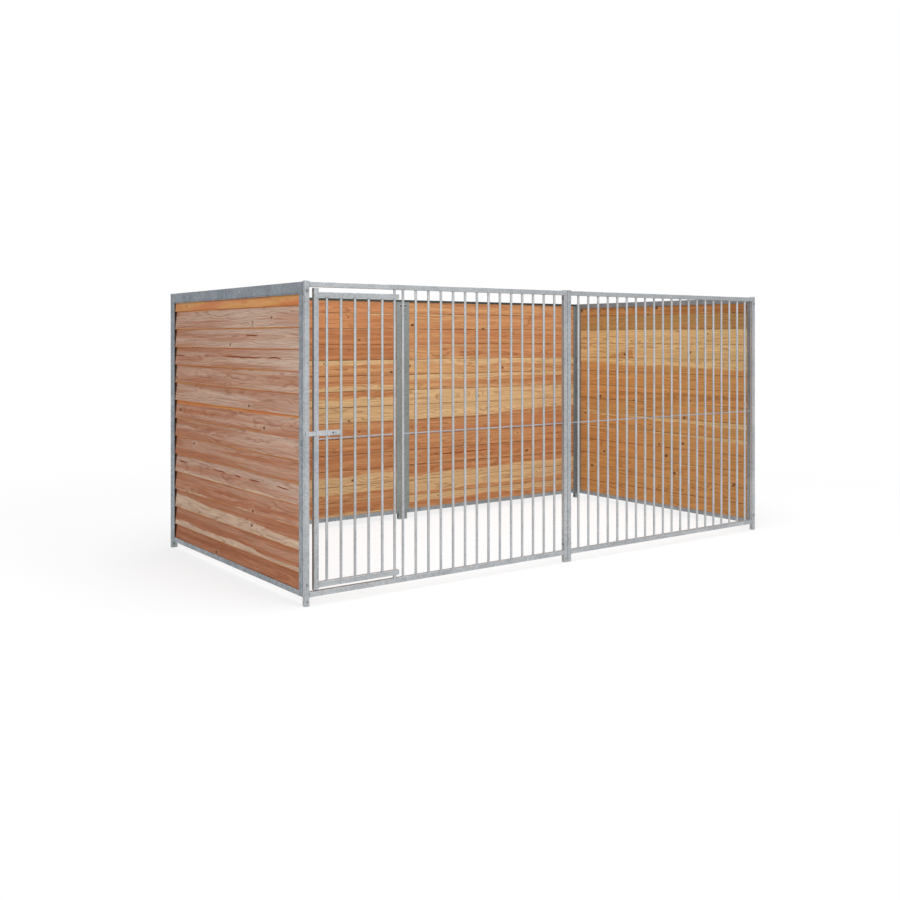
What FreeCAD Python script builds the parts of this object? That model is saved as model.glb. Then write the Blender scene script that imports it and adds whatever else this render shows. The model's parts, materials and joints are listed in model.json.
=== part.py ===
"""Dog kennel: an open-topped run of six bolted panels, two of bars and four of timber.

The origin is on the floor at the centre of the footprint. +X runs along the front from
the door end, +Y runs from the front to the back, and +Z is up. All sizes are in millimetres.
"""

import os
import math

import FreeCAD
import Part

Vector = FreeCAD.Vector

# Whole kennel
PANEL_WIDTH = 2000.0      # every panel, outside to outside
PANEL_HEIGHT = 1840.0     # floor to the top of posts, rails and wall caps
FOOT_HEIGHT = 50.0        # clear height under the bottom rails and channels
JOINT_GAP = 3.0           # gap between neighbouring panels, filled by a spacer at each bolt

# Bar panels
TUBE_SIZE = 30.0          # square tube of posts, rails and door frame
TUBE_WALL = 2.0
TUBE_CORNER = 3.0         # outside corner radius of the square tube
BAR_DIAMETER = 16.0
BAR_WALL = 1.5
BAR_GAP_COUNT = 21        # equal pitches between the post centres of one panel
TIE_ROD_DIAMETER = 8.0
TIE_ROD_HEIGHT = 942.0
TIE_ROD_CLEARANCE = 0.1   # around the rod where it passes through a bar
POST_CAP_HEIGHT = 6.0
POST_CAP_STUB = 12.0      # length of the cap's stub inside the post
POST_CAP_CLEARANCE = 0.3
POST_CAP_ROUND = 2.5

# Door
DOOR_PITCHES = 7          # bar pitches from the corner post to the first fixed bar
DOOR_LATCH_GAP = 30.0     # between the corner post and the door stile
DOOR_FIRST_BAR = 74.0     # stile centre to the first door bar
DOOR_BAR_COUNT = 5
HINGE_TO_BAR = 60.0       # hinge bar centre to the first fixed bar
HINGE_CLEARANCE = 0.1     # around the hinge bar in the door rails
RAIL_OVERHANG = 24.0      # door rails past the hinge bar centre
STILE_CLEARANCE = 5.0     # stile ends to the panel's rails
DOOR_BOTTOM_GAP = 18.0    # door's bottom rail above the panel's bottom rail
DOOR_TOP_GAP = 27.0       # door's top rail below the panel's top rail
DOOR_REST_GAP = 0.3       # door's bottom rail above the collar that carries it
COLLAR_WALL = 3.0
COLLAR_CLEARANCE = 0.1
TIE_ROD_END_GAP = 8.0     # free end of the door's tie rod to the hinge bar

# Latch
LATCH_HEIGHT = 976.0      # centre of the bolt above the floor
LATCH_BAR_HEIGHT = 26.0
LATCH_BAR_THICKNESS = 5.0
LATCH_CLEARANCE = 0.5     # around the sliding bar
LATCH_TRAVEL = 14.0
KEEPER_EDGE = 2.0         # keeper to the outer edge of the corner post
STRAP_WIDTH = 12.0
STRAP_WALL = 2.5
LATCH_MOUTH_GAP = 2.5     # drawn bolt tip to the keeper
LATCH_PLATE_HEIGHT = 29.0
LATCH_END_GAP = 10.0      # bolt tail to the second door bar centre
PADLOCK_HOLE = 11.0
PADLOCK_OFFSET = 31.0     # first door bar centre to the padlock hole
KNOB_DIAMETER = 12.0
KNOB_HEIGHT = 9.0
KNOB_ROUND = 2.0
KNOB_OFFSET = 54.0        # first door bar centre to the knob

# Timber walls
WALL_THICKNESS = 30.0     # across the steel channels
CHANNEL_WALL = 2.5
CHANNEL_FLANGE = 40.0     # uprights, outside
INNER_FLANGE = 62.0       # uprights, inside, where it reaches further over the board ends
FRONT_INNER_FLANGE = 20.0 # front uprights, inside, where it is short
BOARD_HOLD = 4.0          # least cover of a board end by a flange
BOTTOM_CHANNEL_HEIGHT = 32.0
CAP_WALL = 1.5
CAP_CLEARANCE = 0.25
CAP_OUTER_LEG = 70.0
SIDE_CAP_INNER_LEG = 42.0
BACK_CAP_INNER_LEG = 18.0
BOARD_COVER = 127.5       # visible height of one board
BOARD_LAP = 12.5          # overlap with the board below
BOARD_BUTT = 22.0         # thickness at the lower edge
BOARD_TIP = 11.0          # thickness at the upper edge
BOARD_LIP_CLEARANCE = 0.5
BOARD_GROOVE = 2.0        # bevels that make the joint line inside
BOARD_EDGE = 1.5          # bevel on the outer lower edge
BOARD_INSET = 25.0        # panel end to the board ends, inside the uprights
TOP_BOARD_LEAST = 20.0    # smallest useful height of the topmost board
TOP_BOARD_GAP = 2.0       # topmost board to the cap

# Fasteners
BOLT_DIAMETER = 8.0
BOLT_HOLE = 9.0
BOLT_HEAD_FLATS = 13.0
BOLT_HEAD_HEIGHT = 5.3
BOLT_END = 4.0            # thread past the nut
NUT_HEIGHT = 6.5
NUT_CLEARANCE = 0.05
WASHER_DIAMETER = 16.0
WASHER_HEIGHT = 1.6
SPACER_DIAMETER = 20.0
TOP_BOLT_DROP = 50.0      # upper joint bolts below the panel top
FOOT_HOLE_HEIGHT = 25.0   # holes through the feet
LOW_BOLT_HEIGHT = 120.0   # lower joint bolts of the posts and side walls
SPARE_HOLE_DROP = 24.0    # spare holes below the upper joint bolts
SCREW_DIAMETER = 4.8
SCREW_HEAD_DIAMETER = 10.0
SCREW_HEAD_HEIGHT = 3.5
SCREW_CLEARANCE = 0.1
SCREW_END = 3.0           # screw past the flange it holds
SCREW_INSET = 32.0        # cap screws from the panel end
SCREW_RISE = 10.0         # cap screws above the lower edge of the cap

# Positions that follow from the sizes above
half_joint = JOINT_GAP / 2
panel_centre = half_joint + PANEL_WIDTH / 2
half_width = half_joint + PANEL_WIDTH
depth = TUBE_SIZE + JOINT_GAP + PANEL_WIDTH + JOINT_GAP + WALL_THICKNESS
front_face = -depth / 2
front_centre = front_face + TUBE_SIZE / 2
side_front = front_face + TUBE_SIZE + JOINT_GAP
back_inside = side_front + PANEL_WIDTH + JOINT_GAP
back_centre = back_inside + WALL_THICKNESS / 2
rail_bottom = FOOT_HEIGHT
rail_top = PANEL_HEIGHT - TUBE_SIZE
opening_bottom = FOOT_HEIGHT + TUBE_SIZE
bar_pitch = (PANEL_WIDTH - TUBE_SIZE) / BAR_GAP_COUNT
top_bolt_height = PANEL_HEIGHT - TOP_BOLT_DROP
spare_height = top_bolt_height - SPARE_HOLE_DROP
corner_line = half_width - WALL_THICKNESS / 2
AXIS = {"x": Vector(1, 0, 0), "y": Vector(0, 1, 0), "z": Vector(0, 0, 1)}
nodes = {}


def box(x0, x1, y0, y1, z0, z1):
    """A box between two corners."""
    return Part.makeBox(x1 - x0, y1 - y0, z1 - z0, Vector(x0, y0, z0))


def rod(diameter, start, axis, length):
    """A solid cylinder from a start point along an axis."""
    return Part.makeCylinder(diameter / 2, length, Vector(*start), axis)


def ring(outside, inside, start, axis, length):
    """A round tube or washer."""
    return rod(outside, start, axis, length).cut(rod(inside, start, axis, length))


def hexagon(flats, start, axis, length):
    """A hexagonal prism from a start point along an axis."""
    radius = flats / math.sqrt(3)
    corners = []
    for k in range(7):
        angle = math.radians(60 * k)
        corners.append(Vector(radius * math.cos(angle), radius * math.sin(angle), 0))
    prism = Part.Face(Part.makePolygon(corners)).extrude(Vector(0, 0, length))
    prism.Placement = FreeCAD.Placement(Vector(*start), FreeCAD.Rotation(AXIS["z"], axis))
    return prism


def rounded_prism(size, radius, length):
    """A square bar with rounded long edges, centred on Z and standing at zero."""
    block = Part.makeBox(size, size, length, Vector(-size / 2, -size / 2, 0))
    uprights = [edge for edge in block.Edges if abs(edge.tangentAt(edge.FirstParameter).z) > 0.99]
    return block.makeFillet(radius, uprights)


def square_tube(length):
    """The square tube of the bar panels, centred on Z and standing at zero."""
    outside = rounded_prism(TUBE_SIZE, TUBE_CORNER, length)
    inside = rounded_prism(TUBE_SIZE - 2 * TUBE_WALL, TUBE_CORNER - TUBE_WALL, length)
    return outside.cut(inside)


def post(x, y, z0, z1):
    """An upright square tube."""
    tube = square_tube(z1 - z0)
    tube.translate(Vector(x, y, z0))
    return tube


def rail(x0, x1, y, z):
    """A level square tube along X, centred on y and z."""
    tube = square_tube(x1 - x0)
    tube.rotate(Vector(0, 0, 0), AXIS["y"], 90)
    tube.translate(Vector(x0, y, z))
    return tube


def drill_x(solid, x, y, z, diameter):
    """Drill a square tube right through along X."""
    return solid.cut(rod(diameter, (x - TUBE_SIZE, y, z), AXIS["x"], 2 * TUBE_SIZE))


def drill_y(solid, x, y, z, diameter):
    """Drill a square tube right through along Y."""
    return solid.cut(rod(diameter, (x, y - TUBE_SIZE, z), AXIS["y"], 2 * TUBE_SIZE))


def upright_bar(x, z0, z1):
    """A round bar drilled across for the tie rod."""
    bar = ring(BAR_DIAMETER, BAR_DIAMETER - 2 * BAR_WALL, (x, front_centre, z0), AXIS["z"], z1 - z0)
    hole = TIE_ROD_DIAMETER + 2 * TIE_ROD_CLEARANCE
    start = (x - BAR_DIAMETER, front_centre, TIE_ROD_HEIGHT)
    return bar.cut(rod(hole, start, AXIS["x"], 2 * BAR_DIAMETER))


def tie_rod(x0, x1):
    """The thin level rod threaded through the bars."""
    return rod(TIE_ROD_DIAMETER, (x0, front_centre, TIE_ROD_HEIGHT), AXIS["x"], x1 - x0)


def strap(x, face):
    """A U-shaped strap on an upright face, around the sliding bar."""
    half = LATCH_BAR_HEIGHT / 2 + LATCH_CLEARANCE
    reach = LATCH_BAR_THICKNESS + 2 * LATCH_CLEARANCE
    outside = box(x, x + STRAP_WIDTH, face - reach - STRAP_WALL, face,
                  LATCH_HEIGHT - half - STRAP_WALL, LATCH_HEIGHT + half + STRAP_WALL)
    inside = box(x, x + STRAP_WIDTH, face - reach, face, LATCH_HEIGHT - half, LATCH_HEIGHT + half)
    return outside.cut(inside)


# Door panel at the left of the front
panel_left = -half_width
left_post_x = panel_left + TUBE_SIZE / 2
right_post_x = -half_joint - TUBE_SIZE / 2
first_bar_x = left_post_x + DOOR_PITCHES * bar_pitch
hinge_x = first_bar_x - HINGE_TO_BAR
stile_x = left_post_x + TUBE_SIZE + DOOR_LATCH_GAP
door_bar_x = [stile_x + DOOR_FIRST_BAR + k * bar_pitch for k in range(DOOR_BAR_COUNT)]
inner_left = left_post_x + TUBE_SIZE / 2
inner_right = right_post_x - TUBE_SIZE / 2


def front_post(x, joint_along):
    """A front post with its joint holes, spare holes and foot holes."""
    solid = post(x, front_centre, 0, PANEL_HEIGHT)
    if joint_along == "y":
        line = math.copysign(corner_line, x)
        solid = drill_y(solid, line, front_centre, top_bolt_height, BOLT_HOLE)
        solid = drill_y(solid, line, front_centre, LOW_BOLT_HEIGHT, BOLT_HOLE)
        solid = drill_x(solid, x, front_centre, spare_height, BOLT_HOLE)
    else:
        solid = drill_x(solid, x, front_centre, top_bolt_height, BOLT_HOLE)
        solid = drill_x(solid, x, front_centre, LOW_BOLT_HEIGHT, BOLT_HOLE)
        solid = drill_y(solid, x, front_centre, spare_height, BOLT_HOLE)
    solid = drill_x(solid, x, front_centre, FOOT_HOLE_HEIGHT, BOLT_HOLE)
    return drill_y(solid, x, front_centre, FOOT_HOLE_HEIGHT, BOLT_HOLE)


nodes["door_panel_left_post"] = [front_post(left_post_x, "y")]
nodes["door_panel_right_post"] = [front_post(right_post_x, "x")]
nodes["door_panel_top_rail"] = [rail(inner_left, inner_right, front_centre, PANEL_HEIGHT - TUBE_SIZE / 2)]
nodes["door_panel_bottom_rail"] = [rail(inner_left, inner_right, front_centre, FOOT_HEIGHT + TUBE_SIZE / 2)]
fixed_bars = BAR_GAP_COUNT - DOOR_PITCHES
nodes["door_panel_bars"] = [
    upright_bar(first_bar_x + k * bar_pitch, opening_bottom, rail_top) for k in range(fixed_bars)
]
nodes["door_panel_tie_rod"] = [tie_rod(first_bar_x - BAR_DIAMETER / 2, inner_right)]
nodes["hinge_bar"] = [
    ring(BAR_DIAMETER, BAR_DIAMETER - 2 * BAR_WALL, (hinge_x, front_centre, opening_bottom),
         AXIS["z"], rail_top - opening_bottom)
]
collar_inside = BAR_DIAMETER + 2 * COLLAR_CLEARANCE
nodes["hinge_collar"] = [
    ring(collar_inside + 2 * COLLAR_WALL, collar_inside, (hinge_x, front_centre, opening_bottom),
         AXIS["z"], DOOR_BOTTOM_GAP - DOOR_REST_GAP)
]

# Door
door_bottom = opening_bottom + DOOR_BOTTOM_GAP
door_top = rail_top - DOOR_TOP_GAP
door_left = stile_x + TUBE_SIZE / 2
door_right = hinge_x + RAIL_OVERHANG


def door_rail(z):
    """A door rail drilled upright for the hinge bar."""
    solid = rail(door_left, door_right, front_centre, z)
    hole = BAR_DIAMETER + 2 * HINGE_CLEARANCE
    return solid.cut(rod(hole, (hinge_x, front_centre, z - TUBE_SIZE), AXIS["z"], 2 * TUBE_SIZE))


nodes["door_stile"] = [
    post(stile_x, front_centre, opening_bottom + STILE_CLEARANCE, rail_top - STILE_CLEARANCE)
]
nodes["door_top_rail"] = [door_rail(door_top - TUBE_SIZE / 2)]
nodes["door_bottom_rail"] = [door_rail(door_bottom + TUBE_SIZE / 2)]
nodes["door_bars"] = [upright_bar(x, door_bottom + TUBE_SIZE, door_top - TUBE_SIZE) for x in door_bar_x]
nodes["door_tie_rod"] = [tie_rod(door_left, hinge_x - BAR_DIAMETER / 2 - TIE_ROD_END_GAP)]

# Latch on the outside of the door
keeper_x = panel_left + KEEPER_EDGE
bolt_tip = keeper_x + STRAP_WIDTH + LATCH_MOUTH_GAP
bolt_tail = door_bar_x[1] - LATCH_END_GAP
padlock_x = door_bar_x[0] + PADLOCK_OFFSET
knob_x = door_bar_x[0] + KNOB_OFFSET
bolt_back = front_face - LATCH_CLEARANCE
bolt_front = bolt_back - LATCH_BAR_THICKNESS
plate_back = front_centre - BAR_DIAMETER / 2
plate_half = LATCH_PLATE_HEIGHT / 2

latch_plate = box(door_left, door_bar_x[1], front_face, plate_back,
                  LATCH_HEIGHT - plate_half, LATCH_HEIGHT + plate_half)
locked_hole = (padlock_x - LATCH_TRAVEL, front_face - LATCH_CLEARANCE, LATCH_HEIGHT)
nodes["latch_plate"] = [latch_plate.cut(rod(PADLOCK_HOLE, locked_hole, AXIS["y"], TUBE_SIZE))]
nodes["latch_straps"] = [
    strap(stile_x - STRAP_WIDTH / 2, front_face),
    strap(door_bar_x[0] - STRAP_WIDTH / 2, front_face),
]
nodes["latch_keeper"] = [strap(keeper_x, front_face)]
latch_bar = box(bolt_tip, bolt_tail, bolt_front, bolt_back,
                LATCH_HEIGHT - LATCH_BAR_HEIGHT / 2, LATCH_HEIGHT + LATCH_BAR_HEIGHT / 2)
bar_hole = rod(PADLOCK_HOLE, (padlock_x, bolt_front, LATCH_HEIGHT), AXIS["y"], LATCH_BAR_THICKNESS)
nodes["latch_bolt"] = [latch_bar.cut(bar_hole)]
knob = rod(KNOB_DIAMETER, (knob_x, bolt_front - KNOB_HEIGHT, LATCH_HEIGHT), AXIS["y"], KNOB_HEIGHT)
front_edge = [edge for edge in knob.Edges if edge.BoundBox.YMax < bolt_front - KNOB_HEIGHT / 2]
nodes["latch_knob"] = [knob.makeFillet(KNOB_ROUND, front_edge)]

# Plain bar panel at the right of the front
bar_left_x = half_joint + TUBE_SIZE / 2
bar_right_x = half_width - TUBE_SIZE / 2
bar_inner_left = bar_left_x + TUBE_SIZE / 2
bar_inner_right = bar_right_x - TUBE_SIZE / 2
nodes["bar_panel_left_post"] = [front_post(bar_left_x, "x")]
nodes["bar_panel_right_post"] = [front_post(bar_right_x, "y")]
nodes["bar_panel_top_rail"] = [
    rail(bar_inner_left, bar_inner_right, front_centre, PANEL_HEIGHT - TUBE_SIZE / 2)
]
nodes["bar_panel_bottom_rail"] = [
    rail(bar_inner_left, bar_inner_right, front_centre, FOOT_HEIGHT + TUBE_SIZE / 2)
]
nodes["bar_panel_bars"] = [
    upright_bar(bar_left_x + k * bar_pitch, opening_bottom, rail_top) for k in range(1, BAR_GAP_COUNT)
]
nodes["bar_panel_tie_rod"] = [tie_rod(bar_inner_left, bar_inner_right)]

# Caps that close the front posts
post_caps = []
for x in (left_post_x, right_post_x, bar_left_x, bar_right_x):
    lid = rounded_prism(TUBE_SIZE, TUBE_CORNER, POST_CAP_HEIGHT)
    lid_top = [edge for edge in lid.Edges if edge.BoundBox.ZMin > POST_CAP_HEIGHT / 2]
    lid = lid.makeFillet(POST_CAP_ROUND, lid_top)
    stub_size = TUBE_SIZE - 2 * TUBE_WALL - 2 * POST_CAP_CLEARANCE
    stub = rounded_prism(stub_size, TUBE_CORNER - TUBE_WALL, POST_CAP_STUB)
    stub.translate(Vector(0, 0, -POST_CAP_STUB))
    cap = lid.fuse(stub)
    cap.translate(Vector(x, front_centre, PANEL_HEIGHT))
    post_caps.append(cap)
nodes["post_caps"] = post_caps

# Timber walls, built along X with the outside towards +Y and then turned into place
board_inside = (WALL_THICKNESS - BOARD_BUTT) / 2
board_width = BOARD_COVER + BOARD_LAP
boards_bottom = FOOT_HEIGHT + CHANNEL_WALL
boards_top = PANEL_HEIGHT - CAP_WALL - TOP_BOARD_GAP
full_boards = int((boards_top - boards_bottom - TOP_BOARD_LEAST) // BOARD_COVER)
cap_screw_height = PANEL_HEIGHT - CAP_OUTER_LEG + SCREW_RISE
cap_outer_face = WALL_THICKNESS + CAP_CLEARANCE + CAP_WALL


def drill_wall(solid, u, z, depth):
    """Drill a wall piece from its inner face to a depth across the wall."""
    start = (u, -WALL_THICKNESS, z)
    return solid.cut(rod(BOLT_HOLE, start, AXIS["y"], WALL_THICKNESS + depth))


def wall_upright(foot, far_end, web_holes, flange_line, flange_holes, inner_holes, inner_flange):
    """A steel channel at one end of a wall, open towards the boards."""
    bottom = 0 if foot else FOOT_HEIGHT
    top = PANEL_HEIGHT - CAP_WALL
    solid = box(0, CHANNEL_FLANGE, 0, WALL_THICKNESS, bottom, top)
    hollow = box(CHANNEL_WALL, CHANNEL_FLANGE, CHANNEL_WALL, WALL_THICKNESS - CHANNEL_WALL, bottom, top)
    cover_bottom = FOOT_HEIGHT + BOTTOM_CHANNEL_HEIGHT
    plain_flange = box(0, CHANNEL_FLANGE, 0, CHANNEL_WALL, cover_bottom, top)
    cover = box(0, inner_flange, 0, CHANNEL_WALL, cover_bottom, top)
    solid = solid.cut(hollow).cut(plain_flange).fuse(cover).removeSplitter()
    for z in web_holes:
        start = (-CHANNEL_FLANGE, WALL_THICKNESS / 2, z)
        solid = solid.cut(rod(BOLT_HOLE, start, AXIS["x"], 2 * CHANNEL_FLANGE))
    for z in flange_holes:
        solid = drill_wall(solid, flange_line, z, 2 * WALL_THICKNESS)
    for z in inner_holes:
        solid = drill_wall(solid, flange_line, z, WALL_THICKNESS / 2)
    start = (SCREW_INSET, WALL_THICKNESS / 2, cap_screw_height)
    screw_hole = rod(SCREW_DIAMETER + 2 * SCREW_CLEARANCE, start, AXIS["y"], WALL_THICKNESS)
    solid = solid.cut(screw_hole)
    if far_end:
        solid = solid.mirror(Vector(PANEL_WIDTH / 2, 0, 0), AXIS["x"])
    return solid


def bottom_channel():
    """The level channel that carries the boards between the uprights."""
    u0, u1 = CHANNEL_FLANGE, PANEL_WIDTH - CHANNEL_FLANGE
    top = FOOT_HEIGHT + BOTTOM_CHANNEL_HEIGHT
    solid = box(u0, u1, 0, WALL_THICKNESS, FOOT_HEIGHT, top)
    hollow = box(u0, u1, CHANNEL_WALL, WALL_THICKNESS - CHANNEL_WALL, FOOT_HEIGHT + CHANNEL_WALL, top)
    return solid.cut(hollow)


def top_cap(bolt_ends, inner_leg_height):
    """The folded cap over the wall, taller outside than inside."""
    inner_face = -CAP_CLEARANCE - CAP_WALL
    solid = box(0, PANEL_WIDTH, inner_face, cap_outer_face, PANEL_HEIGHT - CAP_WALL, PANEL_HEIGHT)
    outer_leg = box(0, PANEL_WIDTH, WALL_THICKNESS + CAP_CLEARANCE, cap_outer_face,
                    PANEL_HEIGHT - CAP_OUTER_LEG, PANEL_HEIGHT - CAP_WALL)
    inner_leg = box(0, PANEL_WIDTH, inner_face, -CAP_CLEARANCE,
                    PANEL_HEIGHT - inner_leg_height, PANEL_HEIGHT - CAP_WALL)
    solid = solid.fuse(outer_leg).fuse(inner_leg).removeSplitter()
    for u in (SCREW_INSET, PANEL_WIDTH - SCREW_INSET):
        start = (u, WALL_THICKNESS, cap_screw_height)
        screw_hole = rod(SCREW_DIAMETER + 2 * SCREW_CLEARANCE, start, AXIS["y"], WALL_THICKNESS)
        solid = solid.cut(screw_hole)
    for u in bolt_ends:
        start = (u, WALL_THICKNESS, top_bolt_height)
        solid = solid.cut(rod(BOLT_HOLE, start, AXIS["y"], WALL_THICKNESS))
    return solid


def thickness_at(height):
    """Board thickness at a height above its lower edge."""
    return BOARD_BUTT - (BOARD_BUTT - BOARD_TIP) * height / board_width


def board_inset(end):
    """From the panel end to the board ends, inside an upright."""
    return min(BOARD_INSET, end["inner_flange"] - BOARD_HOLD)


def board(index, height, near_inset, far_inset):
    """One bevelled board. All but the lowest are rebated over the board below."""
    rebate = thickness_at(BOARD_COVER) + BOARD_LIP_CLEARANCE
    edge_face = thickness_at(BOARD_EDGE)
    outline = [(BOARD_BUTT - BOARD_EDGE, 0), (edge_face, BOARD_EDGE)]
    outline += [(thickness_at(height), height), (BOARD_GROOVE, height), (0, height - BOARD_GROOVE)]
    if index == 0:
        outline += [(0, 0)]
    else:
        outline += [(0, BOARD_LAP + BOARD_GROOVE), (BOARD_GROOVE, BOARD_LAP)]
        outline += [(rebate, BOARD_LAP), (rebate, 0)]
    base = boards_bottom + index * BOARD_COVER
    points = [Vector(near_inset, board_inside + v, base + z) for v, z in outline]
    profile = Part.Face(Part.makePolygon(points + points[:1]))
    return profile.extrude(Vector(PANEL_WIDTH - near_inset - far_inset, 0, 0))


def cap_screw(u):
    """A screw through the outer leg of the cap into an upright."""
    shank = CAP_WALL + CAP_CLEARANCE + CHANNEL_WALL + SCREW_END
    start = (u, cap_outer_face, cap_screw_height)
    head = rod(SCREW_HEAD_DIAMETER, start, AXIS["y"], SCREW_HEAD_HEIGHT)
    rounded = [edge for edge in head.Edges if edge.BoundBox.YMin > cap_outer_face + SCREW_HEAD_HEIGHT / 2]
    head = head.makeFillet(SCREW_HEAD_HEIGHT / 3, rounded)
    return head.fuse(rod(SCREW_DIAMETER, start, Vector(0, -1, 0), shank))


post_joint = [top_bolt_height, LOW_BOLT_HEIGHT]
back_joint = [top_bolt_height, FOOT_HOLE_HEIGHT]
corner_u = WALL_THICKNESS / 2
side_end = dict(foot=False, web_holes=post_joint, flange_line=corner_u, flange_holes=[], inner_holes=[],
                inner_flange=INNER_FLANGE)
front_end = dict(side_end, inner_flange=FRONT_INNER_FLANGE)
corner_end = dict(foot=True, web_holes=[], flange_line=corner_u,
                  flange_holes=post_joint + [FOOT_HOLE_HEIGHT], inner_holes=[], inner_flange=INNER_FLANGE)
middle_end = dict(foot=True, web_holes=back_joint, flange_line=CHANNEL_FLANGE / 2,
                  flange_holes=[FOOT_HOLE_HEIGHT], inner_holes=[top_bolt_height], inner_flange=INNER_FLANGE)
cap_screws = []

# Each wall: the node prefix, its two ends with their names, its bolted cap ends, the cap's
# inside leg, turn and place
walls = [
    ("left_wall", "front_upright", front_end, "back_upright", side_end, [], SIDE_CAP_INNER_LEG,
     90, Vector(-half_width + WALL_THICKNESS, side_front, 0)),
    ("right_wall", "back_upright", side_end, "front_upright", front_end, [], SIDE_CAP_INNER_LEG,
     -90, Vector(half_width - WALL_THICKNESS, side_front + PANEL_WIDTH, 0)),
    ("back_left_wall", "corner_upright", corner_end, "middle_upright", middle_end, [corner_u],
     BACK_CAP_INNER_LEG, 0, Vector(-half_width, back_inside, 0)),
    ("back_right_wall", "middle_upright", middle_end, "corner_upright", corner_end, [PANEL_WIDTH - corner_u],
     BACK_CAP_INNER_LEG, 0, Vector(half_joint, back_inside, 0)),
]
for name, near_name, near, far_name, far, bolt_ends, inner_leg_height, turn, place in walls:
    top_height = boards_top - boards_bottom - full_boards * BOARD_COVER
    insets = board_inset(near), board_inset(far)
    pieces = {
        near_name: [wall_upright(far_end=False, **near)],
        far_name: [wall_upright(far_end=True, **far)],
        "bottom_channel": [bottom_channel()],
        "top_cap": [top_cap(bolt_ends, inner_leg_height)],
        "boards": [board(k, board_width, *insets) for k in range(full_boards)],
        "top_board": [board(full_boards, top_height, *insets)],
    }
    screws = [cap_screw(SCREW_INSET), cap_screw(PANEL_WIDTH - SCREW_INSET)]
    for solid in sum(pieces.values(), screws):
        solid.rotate(Vector(0, 0, 0), AXIS["z"], turn)
        solid.translate(place)
    for piece, solids in pieces.items():
        nodes[name + "_" + piece] = solids
    cap_screws += screws
nodes["cap_screws"] = cap_screws

# Bolted joints between the panels
joint_bolts = []
joint_nuts = []
joint_washers = []
joint_spacers = []


def along(start, direction, distance):
    """A point at a distance from a start point."""
    return tuple(Vector(*start) + direction * distance)


def joint(start, direction, spacer_at, grip):
    """A bolt from a face into a joint, with its nut, washers and the spacer in the gap."""
    opposite = direction * -1
    head_face = along(start, opposite, WASHER_HEIGHT)
    nut_face = along(start, direction, grip + WASHER_HEIGHT)
    shank = WASHER_HEIGHT + grip + WASHER_HEIGHT + NUT_HEIGHT + BOLT_END
    head = hexagon(BOLT_HEAD_FLATS, head_face, opposite, BOLT_HEAD_HEIGHT)
    joint_bolts.append(head.fuse(rod(BOLT_DIAMETER, head_face, direction, shank)))
    bore = BOLT_DIAMETER + 2 * NUT_CLEARANCE
    nut = hexagon(BOLT_HEAD_FLATS, nut_face, direction, NUT_HEIGHT)
    joint_nuts.append(nut.cut(rod(bore, nut_face, direction, NUT_HEIGHT)))
    joint_washers.append(ring(WASHER_DIAMETER, BOLT_HOLE, start, opposite, WASHER_HEIGHT))
    far_face = along(start, direction, grip)
    joint_washers.append(ring(WASHER_DIAMETER, BOLT_HOLE, far_face, direction, WASHER_HEIGHT))
    gap_face = along(start, direction, spacer_at)
    joint_spacers.append(ring(SPACER_DIAMETER, BOLT_HOLE, gap_face, direction, JOINT_GAP))


for x in (-corner_line, corner_line):
    for z in post_joint:
        joint((x, front_face, z), AXIS["y"], TUBE_SIZE, TUBE_SIZE + JOINT_GAP + CHANNEL_WALL)
        cover = CAP_CLEARANCE + CAP_WALL if z == top_bolt_height else 0
        outside = (x, back_inside + WALL_THICKNESS + cover, z)
        joint(outside, AXIS["y"] * -1, WALL_THICKNESS + cover,
              WALL_THICKNESS + cover + JOINT_GAP + CHANNEL_WALL)
for z in post_joint:
    joint((-half_joint - TUBE_SIZE, front_centre, z), AXIS["x"], TUBE_SIZE, 2 * TUBE_SIZE + JOINT_GAP)
for z in back_joint:
    joint((-half_joint - CHANNEL_WALL, back_centre, z), AXIS["x"], CHANNEL_WALL,
          2 * CHANNEL_WALL + JOINT_GAP)
nodes["joint_bolts"] = joint_bolts
nodes["joint_nuts"] = joint_nuts
nodes["joint_washers"] = joint_washers
nodes["joint_spacers"] = joint_spacers

# Export, one file to a node
os.makedirs("parts", exist_ok=True)
for node, solids in nodes.items():
    shape = solids[0] if len(solids) == 1 else Part.makeCompound(solids)
    shape.exportStep("parts/" + node + ".step")
print(len(nodes), "nodes,", sum(len(solids) for solids in nodes.values()), "solids")
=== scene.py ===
# %% [markdown]
# # A dog kennel of six panels
# The kennel is a run of two barred front panels and four timber walls, bolted together at the
# corners. The solids come in as a fixed frame. This lesson gives them their finishes, replaces the
# plain boards with worn larch boards, and adds the weld beads and two bolts that the steel shows.

# %% Load the frame
import json
import math
import random

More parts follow.
